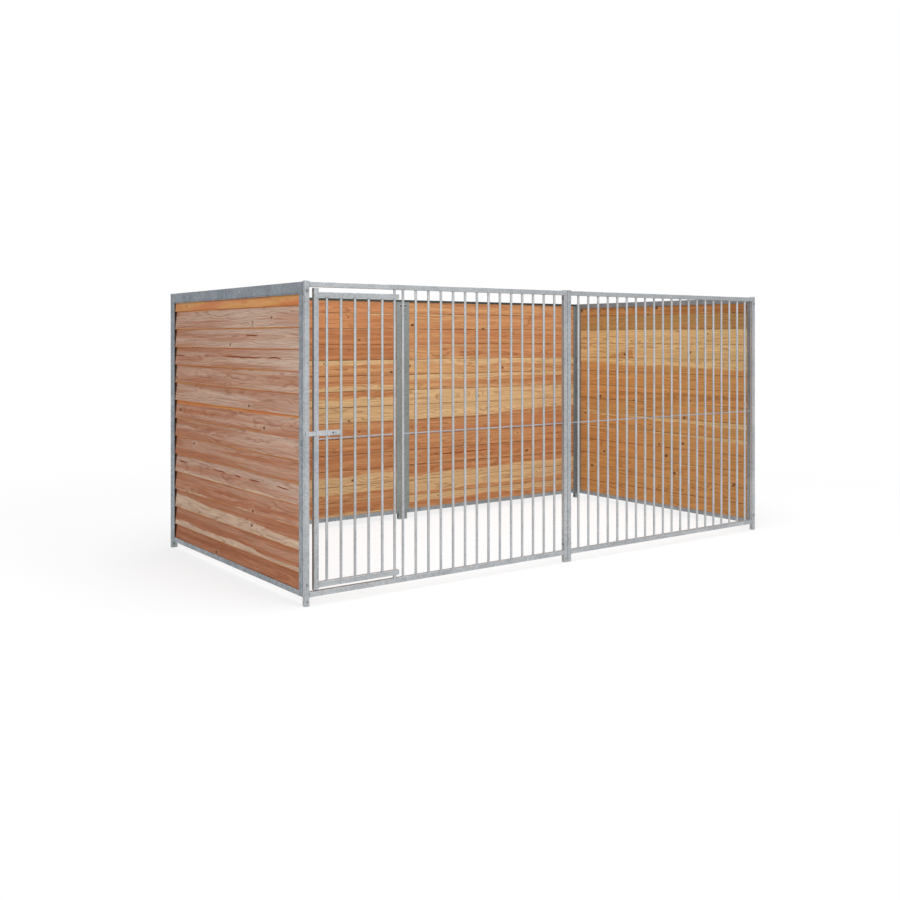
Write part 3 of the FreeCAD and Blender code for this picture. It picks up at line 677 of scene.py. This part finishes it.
def wood_tint(tree, palette, tone, sapwood, grain, halo):
    """Wood colour on one side: red heart, pale heart, sapwood and late wood."""
    red, pale, sap, dark = palette
    late_wood, band, fibre = grain
    streaked = math_of(tree, "ADD", tone, between(tree, band, 0.0, 1.0, BAND_TONE, -BAND_TONE))
    ground = blend_colours(tree, streaked, red, pale)
    ground = blend_colours(tree, between(tree, streaked, 0.0, -1.0, 0.0, DARKEST), ground, dark)
    ground = blend_colours(tree, math_of(tree, "MULTIPLY", sapwood, SAP_SHARE), ground, sap)
    fleck = math_of(tree, "MULTIPLY", halo, between(tree, fibre, 0.35, 0.65, 0.0, FLECK_SHARE))
    ground = blend_colours(tree, fleck, ground, sap)
    banded = blend_colours(tree, math_of(tree, "MULTIPLY", band, BAND_TINT), ground, dark)
    return blend_colours(tree, math_of(tree, "MULTIPLY", late_wood, LATE_TINT), banded, dark)


print("late wood takes", LATE_TINT, "of its dark tint")

# %% Lines on the wood
LINE_SOFTNESS = 0.0012
LINE_DRIFT = 0.006  # how far the grain moves a line
FRESH_AND_BOUNCE_SHARE = 0.75
JOINT_LEAST, JOINT_MOST = 0.28, 0.62
# Orange of unweathered wood, with painted light bounced under each lap added in.
fresh_and_bounce_orange, fresh_and_bounce_gold = colour(216, 122, 52), colour(226, 154, 72)
joint_tint = colour(92, 52, 26)


def thin_line(tree, depth):
    """A sharp line from a distance that turns positive inside it."""
    return between(tree, depth, -LINE_SOFTNESS, LINE_SOFTNESS)


def add_lines(tree, tint, lines, drift, band):
    """The tint with its orange lines outside, unweathered wood with painted bounce light, and its dark
    joints inside.
    """
    edge_depth, dry_and_bounce_depth, joint_depth = lines
    ragged = math_of(tree, "MULTIPLY", drift, LINE_DRIFT)
    dry = thin_line(tree, math_of(tree, "ADD", dry_and_bounce_depth, ragged))
    dry = math_of(tree, "MAXIMUM", dry, thin_line(tree, edge_depth))
    fresh_and_bounce = blend_colours(tree, between(tree, drift, -0.12, 0.12), fresh_and_bounce_orange, fresh_and_bounce_gold)
    tint = blend_colours(tree, math_of(tree, "MULTIPLY", dry, FRESH_AND_BOUNCE_SHARE), tint, fresh_and_bounce)
    joint = thin_line(tree, math_of(tree, "ADD", joint_depth, ragged))
    uneven = between(tree, band, 0.0, 1.0, JOINT_LEAST, JOINT_MOST)
    return blend_colours(tree, math_of(tree, "MULTIPLY", joint, uneven), tint, joint_tint)


print("lines are sharp to", 2 * LINE_SOFTNESS * 1000, "mm")

# %% Larch finish
DRIFT_PER_METRE = (2.2, 14.0, 14.0)
LATE_FADE = (-0.16, 0.14, 0.3, 1.0)  # least and most drift, and the late wood that stays there
SAP_DRIFT, SAP_EDGES = 0.06, (-0.003, 0.004)
KNOT_SHARE, FLANGE_SHADE_SHARE = 0.85, 0.8
CRACK_EDGES = (0.05, 0.5)
FIBRE_SHADES = (0.86, 1.12)
SMOOTH_LATE, ROUGH_EARLY = 0.62, 0.76
# The last of these tints is painted shade at the boards' ends under the uprights.
knot_tint, crack_tint, flange_shade_tint = colour(96, 50, 28), colour(150, 66, 18), colour(40, 30, 24)


def larch(name, inside, outside, rarity, knot_size, closeness=5.0):
    """Sawn larch with one palette inside and one outside. Knots are rarer towards a rarity of 1."""
    finish, tree, shader = start_finish(name)
    vectors = [add(tree, "Attribute", attribute_name=label).outputs["Vector"] for label in VALUE_NAMES]
    place = vectors[0]
    look, lines, cracks = [add(tree, "SeparateXYZ", {0: vector}).outputs for vector in vectors[1:]]
    tone, sap_depth, is_outer = look
    heart, halo = larch_knots(tree, place, rarity, knot_size, closeness)
    late_wood, band, fibre = larch_grain(tree, place, halo)
    drift = math_of(tree, "SUBTRACT", drawn_noise(tree, place, DRIFT_PER_METRE, 2.0), 0.5)
    late_wood = math_of(tree, "MULTIPLY", late_wood, between(tree, drift, *LATE_FADE))
    sapwood = between(tree, math_of(tree, "MULTIPLY_ADD", drift, SAP_DRIFT, sap_depth), *SAP_EDGES)

    sides = []
    for palette in (inside, outside):
        sides.append(wood_tint(tree, palette, tone, sapwood, (late_wood, band, fibre), halo))
    tint = blend_colours(tree, is_outer, *sides)
    hair = between(tree, fibre, 0.3, 0.7, *FIBRE_SHADES)
    hair_tint = add(tree, "CombineColor", {0: hair, 1: hair, 2: hair}).outputs[0]
    tint = blend_colours(tree, 1.0, tint, hair_tint, way="MULTIPLY")
    tint = add_lines(tree, tint, lines, drift, band)
    tint = blend_colours(tree, math_of(tree, "MULTIPLY", heart, KNOT_SHARE), tint, knot_tint)
    tint = blend_colours(tree, between(tree, cracks[0], *CRACK_EDGES), tint, crack_tint)
    # Painted shade at the ends of the boards, in the gap under the flanges.
    flange_shade_share = math_of(tree, "MULTIPLY", thin_line(tree, cracks[1]), FLANGE_SHADE_SHARE)
    tree.links.new(blend_colours(tree, flange_shade_share, tint, flange_shade_tint), shader.inputs["Base Color"])

    shader.inputs["Specular IOR Level"].default_value = 0.25
    dullness = between(tree, late_wood, 0.0, 1.0, ROUGH_EARLY, SMOOTH_LATE)
    tree.links.new(dullness, shader.inputs["Roughness"])
    height = math_of(tree, "MULTIPLY_ADD", late_wood, 0.6, fibre)
    emboss(tree, shader, height, strength=0.2, distance=0.0008)
    return finish


print("values that the finish reads:", ", ".join(VALUE_NAMES))

# %% Larch of each wall
weathered = (colour(188, 127, 93), colour(209, 179, 158), colour(221, 193, 166), colour(150, 80, 44))
side_wood = (colour(217, 158, 96), colour(176, 137, 84), colour(229, 193, 136), colour(152, 92, 44))
back_wood = (colour(200, 136, 90), colour(216, 173, 121), colour(224, 188, 139), colour(150, 88, 48))
LARCHES = {  # the palette inside, then the rarity, the size and any closeness of the knots
    "left_wall": (side_wood, 0.60, 1.0),
    "right_wall": (side_wood, 0.46, 1.2),
    "right_wall_top": (side_wood, 0.2, 2.8, 9.0),
    "back_left_wall": (back_wood, 0.62, 1.0),
    "back_right_wall": (back_wood, 0.55, 1.05),
}
larch_finish = {}
for name, (inside, *knots) in LARCHES.items():
    larch_finish[name] = larch(name + "_larch", inside, weathered, *knots)
print("larch finishes:", sorted(larch_finish))

# %% [markdown]
# ## The boards of each wall
# The photograph shows how the boards differ. The boards of a wall are counted from the floor. Each
# has the tone at its two ends, from red-brown to pale, and the share of sapwood at its two ends where
# it has any. A negative share lies along the lower edge. The last one is the narrow strip under the
# cap. Drying cracks are given where the photograph shows them, as a middle and a reach in metres, and
# a few more come by chance on faces that it doesn't show. Boards that differ only by chance would be
# quicker to make, but would not look like this kennel.

# %% The boards of each wall
BOARDS = {
    "left_wall": [
        (-0.25, -0.35), (0.05, -0.1, -0.16, -0.25), (0.15, 0.1, -0.35, -0.7),
        (0.15, -0.05, -0.06, -0.08), (0.7, 0.4, -0.08, -0.1), (0.3, 0.1),
        (0.65, 0.3), (0.5, 0.15), (0.8, 0.4), (0.65, 0.25),
        (0.8, 0.3), (0.9, 0.45), (0.9, 0.45), (0.5, 0.5, 0.9, 1)],
    "right_wall": [
        (0, 0.1), (0.1, 0), (-0.1, 0), (0.1, 0.1),
        (0.1, 0, 0.3, 0), (0.1, 0.1, 0.35, 0), (0.1, 0.2, -0.12, -0.15),
        (-0.3, -0.3), (0, 0.1), (0.1, 0.1, 0.6, 0.3),
        (0, 0, 1, 1), (0.2, 0.2, 1, 1), (1, 1), (-1, -0.8)],
    "back_left_wall": [
        (0.2, 0.2, -0.3, -0.35), (0.1, 0.1, 0.6, 0.35), (0, 0.1, -0.5, -0.75),
        (0, 0), (0, 0), (0, 0.1), (0.3, 0.3, 1, 1),
        (0.2, 0.1, -0.5, -0.6), (0.3, 0.1, -0.3, -0.4), (0.4, 0.4, 0.45, 0.3),
        (-0.3, -0.3), (-0.2, -0.25), (-0.2, -0.2), (-0.1, -0.1)],
    "back_right_wall": [
        (0.2, 0.2, 0.4, 0.3), (0.1, 0.1, 0.8, 0.6), (0.1, 0.1, -0.3, -0.7),
        (0.1, 0), (0.1, 0), (0.1, 0), (0.2, 0.1, 1, 0.5),
        (0.3, 0.3, 1, 1), (0.5, 0.3, 0.35, 0.15), (0.5, 0.4, 0.3, 0.45),
        (0.3, 0.05), (0.2, 0.05), (0.25, 0.1), (0.25, 0.1)],
}
SEEN_CRACKS = {
    ("left_wall", 11): [(0.67, 0.09)],
    ("left_wall", 10): [(0.36, 0.10), (0.82, 0.30), (1.86, 0.10)],
    ("left_wall", 4): [(0.25, 0.09), (0.63, 0.09), (0.88, 0.05), (1.18, 0.11), (1.80, 0.09)],
    ("back_right_wall", 3): [(0.62, 0.38)],
}
DRY_AND_BOUNCE_STRIP = 0.005  # height of the strip below most laps, kept dry and given painted bounce light
DRY_AND_BOUNCE_STRIPS = {("left_wall", 7): 0.017, ("left_wall", 13): 0.2}
HEART_WEDGES = {("right_wall", 10): (0.64, 0.88)}
print("boards with cracks in the photograph:", len(SEEN_CRACKS))

# %% Cracks and strips of one board
NO_SAPWOOD = (0, 0)
CRACK_CHANCE = 0.25
CHANCE_MIDDLE, CHANCE_REACH = (0.2, 1.7), (0.06, 0.2)  # in metres along the board
OUTER_HEIGHT, INNER_HEIGHT = (0.45, 0.65), (0.35, 0.75)  # of cracks, as shares of the board's


def board_look(rng, wall, k):
    """The look of one board, with the cracks that it shows and any that come by chance."""
    tone, sap = BOARDS[wall][k][:2], BOARDS[wall][k][2:] or NO_SAPWOOD
    seen, chance = SEEN_CRACKS.get((wall, k), []), []
    if rng.random() < CRACK_CHANCE:
        chance = [(rng.uniform(*CHANCE_MIDDLE), rng.uniform(*CHANCE_REACH))]
    outer, inner = (seen, chance) if wall == "left_wall" else (chance, seen)
    heights = rng.uniform(*OUTER_HEIGHT), rng.uniform(*INNER_HEIGHT)
    dry, wedge = DRY_AND_BOUNCE_STRIPS.get((wall, k), DRY_AND_BOUNCE_STRIP), HEART_WEDGES.get((wall, k))
    return BoardLook(tone, sap, dry, wedge, (heights[0], outer), (heights[1], inner))


print("faces out of sight crack with a chance of", CRACK_CHANCE)

# %% [markdown]
# ## Build the four walls
# A wall's boards lie along Y at the sides and along X at the back. The inner face of the boards and
# their ends could be typed in, but they are read from the solids, so the boards stand in the steel
# channels as the solids do.

# %% Build the walls
OUTER_FLANGE = 0.040  # how far the uprights reach over the boards' outer faces
FIRST_SEED = 100


def wall_frame(wall):
    """A wall's ends, the edges of its flanges, and how (along, outward, up) turns into the frame."""
    low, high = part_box(wall + "_boards")
    cap_low, cap_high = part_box(wall + "_top_cap")
    axis = 0 if wall.startswith("back") else 1
    ends = low[axis], high[axis]
    flange_edges = cap_low[axis] + OUTER_FLANGE, cap_high[axis] - OUTER_FLANGE
    if wall == "left_wall":
        return ends, flange_edges, lambda u, out, up: (high.x - out, u, up)
    if wall == "right_wall":
        return ends, flange_edges, lambda u, out, up: (low.x + out, u, up)
    return ends, flange_edges, lambda u, out, up: (u, low.y + out, up)


for number, wall in enumerate(BOARDS):
    rng = random.Random(FIRST_SEED + number)
    sizes = wall_frame(wall)
    siding, strip = WallMesh(*sizes), WallMesh(*sizes)
    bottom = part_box(wall + "_boards")[0].z
    top_low, top_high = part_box(wall + "_top_board")
    last = len(BOARDS[wall]) - 1
    for k in range(last):
        siding.add_board(Board(rng, board_look(rng, wall, k), bottom + k * COVER, BOARD, lowest=k == 0))
    strip_height = top_high.z - top_low.z
    strip.add_board(Board(rng, board_look(rng, wall, last), top_low.z, strip_height, lowest=False))
    top_finish = larch_finish.get(wall + "_top", larch_finish[wall])
    for swept, name, node, finish in ((siding, "_siding", "_boards", larch_finish[wall]),
                                      (strip, "_top_strip", "_top_board", top_finish)):
        piece = new_piece(wall + name, swept.points, swept.faces, finish, swept.values)
        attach(piece, "kennel")
        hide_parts(wall + node)
        print(piece.name, len(piece.data.vertices), "points")

# %% [markdown]
# ## Weld beads
# Each bar is welded to the rails at both ends, and each rail to its posts. A weld shows as a small
# uneven bead round the joint. A smooth ring would look like a washer, so the bead here is a ring of
# short sections whose thickness varies a little, swept round a circle for a bar and round a square
# for a rail.

# %% One bead
BEAD = 0.0017
BEAD_SECTIONS = 6
BEAD_LEAST, BEAD_MOST = 0.75, 1.2  # thickness, against the plain bead's


def circle(steps):
    """Points round a circle with a radius of 1."""
    angles = [2 * math.pi * k / steps for k in range(steps)]
    return [(math.cos(angle), math.sin(angle)) for angle in angles]


def add_bead(points, faces, path, axis, rng):
    """Adds a closed bead along a path of points that goes round an axis."""
    faces += tube_faces(len(points), BEAD_SECTIONS, len(path), closed=True)
    for k, here in enumerate(path):
        ahead = (path[(k + 1) % len(path)] - path[k - 1]).normalized()
        side = ahead.cross(axis).normalized()
        radius = BEAD * rng.uniform(BEAD_LEAST, BEAD_MOST)
        points += [here + radius * (c * side + s * axis) for c, s in circle(BEAD_SECTIONS)]


print("beads are", 2 * BEAD * 1000, "mm thick")

# %% Paths of the beads
ROUND_STEPS = 18
SIDE_STEPS = 5
CUT = 0.8  # where a square's cut corners begin
SQUARE = [(1, -CUT), (1, CUT), (CUT, 1), (-CUT, 1), (-1, CUT), (-1, -CUT), (-CUT, -1), (CUT, -1)]


def round_path(centre, radius):
    """A level circle of points."""
    return [centre + radius * Vector((c, s, 0.0)) for c, s in circle(ROUND_STEPS)]


def square_path(centre, half):
    """A square of points standing across X, with its corners cut."""
    path = []
    for k, (y, z) in enumerate(SQUARE):
        next_y, next_z = SQUARE[(k + 1) % len(SQUARE)]
        steps = SIDE_STEPS if k % 2 == 0 else 1
        for j in range(steps):
            share = j / steps
            place = Vector((0.0, at_share((y, next_y), share), at_share((z, next_z), share)))
            path.append(centre + half * place)
    return path


def bar_row(node, count):
    """Where a row of evenly spaced bars stands, with its lowest and highest point and its radius."""
    low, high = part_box(node)
    radius = (high.y - low.y) / 2
    step = (high.x - low.x - 2 * radius) / max(1, count - 1)
    places = [(low.x + radius + k * step, (low.y + high.y) / 2) for k in range(count)]
    return places, low.z, high.z, radius


print("points round a rail:", len(square_path(Vector(), 1.0)))

# %% Weld beads
OFFSET = BEAD / 3  # from the faces of a joint to the middle of its bead
RAIL_OFFSET = BEAD / 4  # the same from a rail's own faces
UPWARD, SIDEWAYS = Vector((0, 0, 1)), Vector((1, 0, 0))
PANEL_BARS = {"door_panel_bars": 14, "bar_panel_bars": 20, "hinge_bar": 1}
PANEL_RAILS = ("door_panel_top_rail", "door_panel_bottom_rail",
               "bar_panel_top_rail", "bar_panel_bottom_rail")
DOOR_RAILS = ("door_top_rail", "door_bottom_rail")


def weld_piece(name, bars, rails, both_ends, body):
    """One object with the beads of some bar rows and rail ends, riding on a body."""
    rng = random.Random(name)
    points, faces = [], []
    for node, count in bars.items():
        places, low, high, radius = bar_row(node, count)
        for x, y in places:
            for z in (low + OFFSET, high - OFFSET):
                add_bead(points, faces, round_path(Vector((x, y, z)), radius + OFFSET), UPWARD, rng)
    for node in rails:
        low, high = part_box(node)
        middle = (low + high) / 2
        half = (high.z - low.z) / 2 + RAIL_OFFSET
        for x in (low.x + OFFSET, high.x - OFFSET) if both_ends else (low.x + OFFSET,):
            path = square_path(Vector((x, middle.y, middle.z)), half)
            add_bead(points, faces, path, SIDEWAYS, rng)
    piece = new_piece(name, points, faces, solid_finish["galvanised_tube"], sharp=False)
    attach(piece, body)
    print(name, len(points), "points")


weld_piece("panel_weld_beads", PANEL_BARS, PANEL_RAILS, True, "kennel")
weld_piece("door_weld_beads", {"door_bars": 5}, DOOR_RAILS, False, "door")

# %% [markdown]
# ## Bolts on the middle uprights
# Where the two back walls meet, a dark dot with a bright rim shows near the top of each upright. It
# is taken for a blackened bolt on a wide washer, in the hole that the upright has there. A lathe
# turns such a piece from a bar, and a mesh can be made the same way: an outline of distances from
# the axis is repeated round a circle.

# %% Bolts on the middle uprights
BOLT_DROP = 0.050  # below the top of the wall
BOLT_INSET = 0.020  # from the end of the wall
WASHER_OUTLINE = [(0.0155, 0.0), (0.0155, 0.0012), (0.0145, 0.0018), (0.0060, 0.0018)]
HEAD_OUTLINE = [(0.0088, 0.0018), (0.0088, 0.0042), (0.0070, 0.0060), (0.0034, 0.0067)]
TURN_STEPS = 24


def add_turned(points, faces, outline, centre):
    """Adds an outline of (radius, height) points, turned round an axis that points to the front."""
    faces += tube_faces(len(points), TURN_STEPS, len(outline))
    for radius, height in outline:
        points += [centre + Vector((radius * c, -height, radius * s)) for c, s in circle(TURN_STEPS)]


left_low, left_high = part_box("back_left_wall_middle_upright")
right_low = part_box("back_right_wall_middle_upright")[0]
bolt_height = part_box("back_left_wall_top_cap")[1].z - BOLT_DROP
bolt_centres = [Vector((left_high.x - BOLT_INSET, left_low.y, bolt_height)),
                Vector((right_low.x + BOLT_INSET, right_low.y, bolt_height))]
black_shades = colour(66, 64, 62), colour(40, 39, 38)
blackened = galvanised("blackened_bolt", black_shades, 0.004, metal=0.5, rough=0.55)
for name, outline, finish in (("upright_washers", WASHER_OUTLINE, solid_finish["galvanised_latch"]),
                              ("upright_bolt_heads", HEAD_OUTLINE, blackened)):
    points, faces = [], []
    for centre in bolt_centres:
        add_turned(points, faces, outline, centre)
    piece = new_piece(name, points, faces, finish)
    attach(piece, "kennel")
    print(name, "at", [tuple(round(c, 3) for c in centre) for centre in bolt_centres])

# %% [markdown]
# ## Floor, light and background
# The kennel stands on a plain pale floor. The floor is white to the camera, but part of its shade
# comes from ordinary light, so the soft shadow of the walls still lies on it. Further out the floor
# fades into the white of the background. The world is white to the camera, and a softer grey to
# everything else. One small lamp would throw hard shadows of every bar, so four large ones are used:
# the one in front and above gives the frame its shape, and others fill the left side, the top and
# the back.

# %% Floor
WHITE = (1.0, 1.0, 1.0, 1.0)
FLOOR_REACH = 60.0
FADE_START, FADE_END = 2.4, 6.5  # distances from the middle, where the fade begins and ends
NEAR_WHITE = 0.70  # share of plain white before the fade
unseen_grey, seen_grey = colour(182, 182, 182), colour(240, 240, 240)

floor_finish = bpy.data.materials.new("studio_floor")
floor_finish.use_nodes = True
floor_tree = floor_finish.node_tree
floor_tree.nodes.clear()
white = add(floor_tree, "Emission", {"Color": WHITE, "Strength": 1.0})
rays = add(floor_tree, "LightPath")
seen = math_of(floor_tree, "MAXIMUM", rays.outputs["Is Camera Ray"], rays.outputs["Is Glossy Ray"])
matt = add(floor_tree, "BsdfDiffuse", {"Color": blend_colours(floor_tree, seen, unseen_grey, seen_grey)})
floor_place = add(floor_tree, "TexCoord").outputs["Object"]
from_middle = add(floor_tree, "VectorMath", {0: floor_place}, operation="LENGTH").outputs["Value"]
fade = between(floor_tree, from_middle, FADE_START, FADE_END, NEAR_WHITE, 1.0)
share = math_of(floor_tree, "MULTIPLY", seen, fade)
surface = add(floor_tree, "MixShader", {0: share, 1: matt.outputs[0], 2: white.outputs[0]})
add(floor_tree, "OutputMaterial", {"Surface": surface.outputs[0]})
corners = [(x * FLOOR_REACH, y * FLOOR_REACH, 0) for x, y in ((-1, -1), (1, -1), (1, 1), (-1, 1))]
floor = new_piece("studio_floor", corners, [(0, 1, 2, 3)], floor_finish, sharp=False)
print("floor reaches", FLOOR_REACH, "m each way")

# %% World
AMBIENT = (0.52, 0.53, 0.55, 1.0)
world = bpy.data.worlds.new("studio_world")
bpy.context.scene.world = world
world.use_nodes = True
sky = world.node_tree
sky.nodes.clear()
sky_rays = add(sky, "LightPath").outputs
bright_rays = math_of(sky, "MAXIMUM", sky_rays["Is Camera Ray"], sky_rays["Is Transmission Ray"])
sky_colour = blend_colours(sky, bright_rays, AMBIENT, WHITE)
background = add(sky, "Background", {"Color": sky_colour, "Strength": 1.0})
add(sky, "OutputWorld", {"Surface": background.outputs[0]})
print("ambient light:", AMBIENT[:3])

# %% Lamps
LAMPS = {  # place, target, size in metres, power in watts and tint
    "back_lamp": ((6.0, 7.5, 5.0), (0.8, 0.5, 0.9), 5.0, 170.0, (1.0, 1.0, 1.0)),
    "front_lamp": ((1.5, -9.0, 6.5), (0.0, 0.0, 0.9), 5.0, 260.0, (1.0, 0.985, 0.96)),
    "left_lamp": ((-7.5, -6.0, 4.5), (-1.5, -0.5, 0.9), 5.0, 300.0, (0.97, 0.985, 1.0)),
    "top_lamp": ((0.0, -1.0, 8.0), (0.0, 0.0, 0.0), 6.0, 420.0, (1.0, 1.0, 1.0)),
}
for name, (place, target, size, power, tint) in LAMPS.items():
    lamp = bpy.data.lights.new(name, "AREA")
    lamp.shape = "SQUARE"
    lamp.size = size
    lamp.energy = power
    lamp.color = tint
    holder = bpy.data.objects.new(name, lamp)
    holder.location = place
    holder.rotation_euler = (Vector(target) - Vector(place)).to_track_quat("-Z", "Y").to_euler()
    bpy.context.scene.collection.objects.link(holder)
print("lamps:", ", ".join(LAMPS))
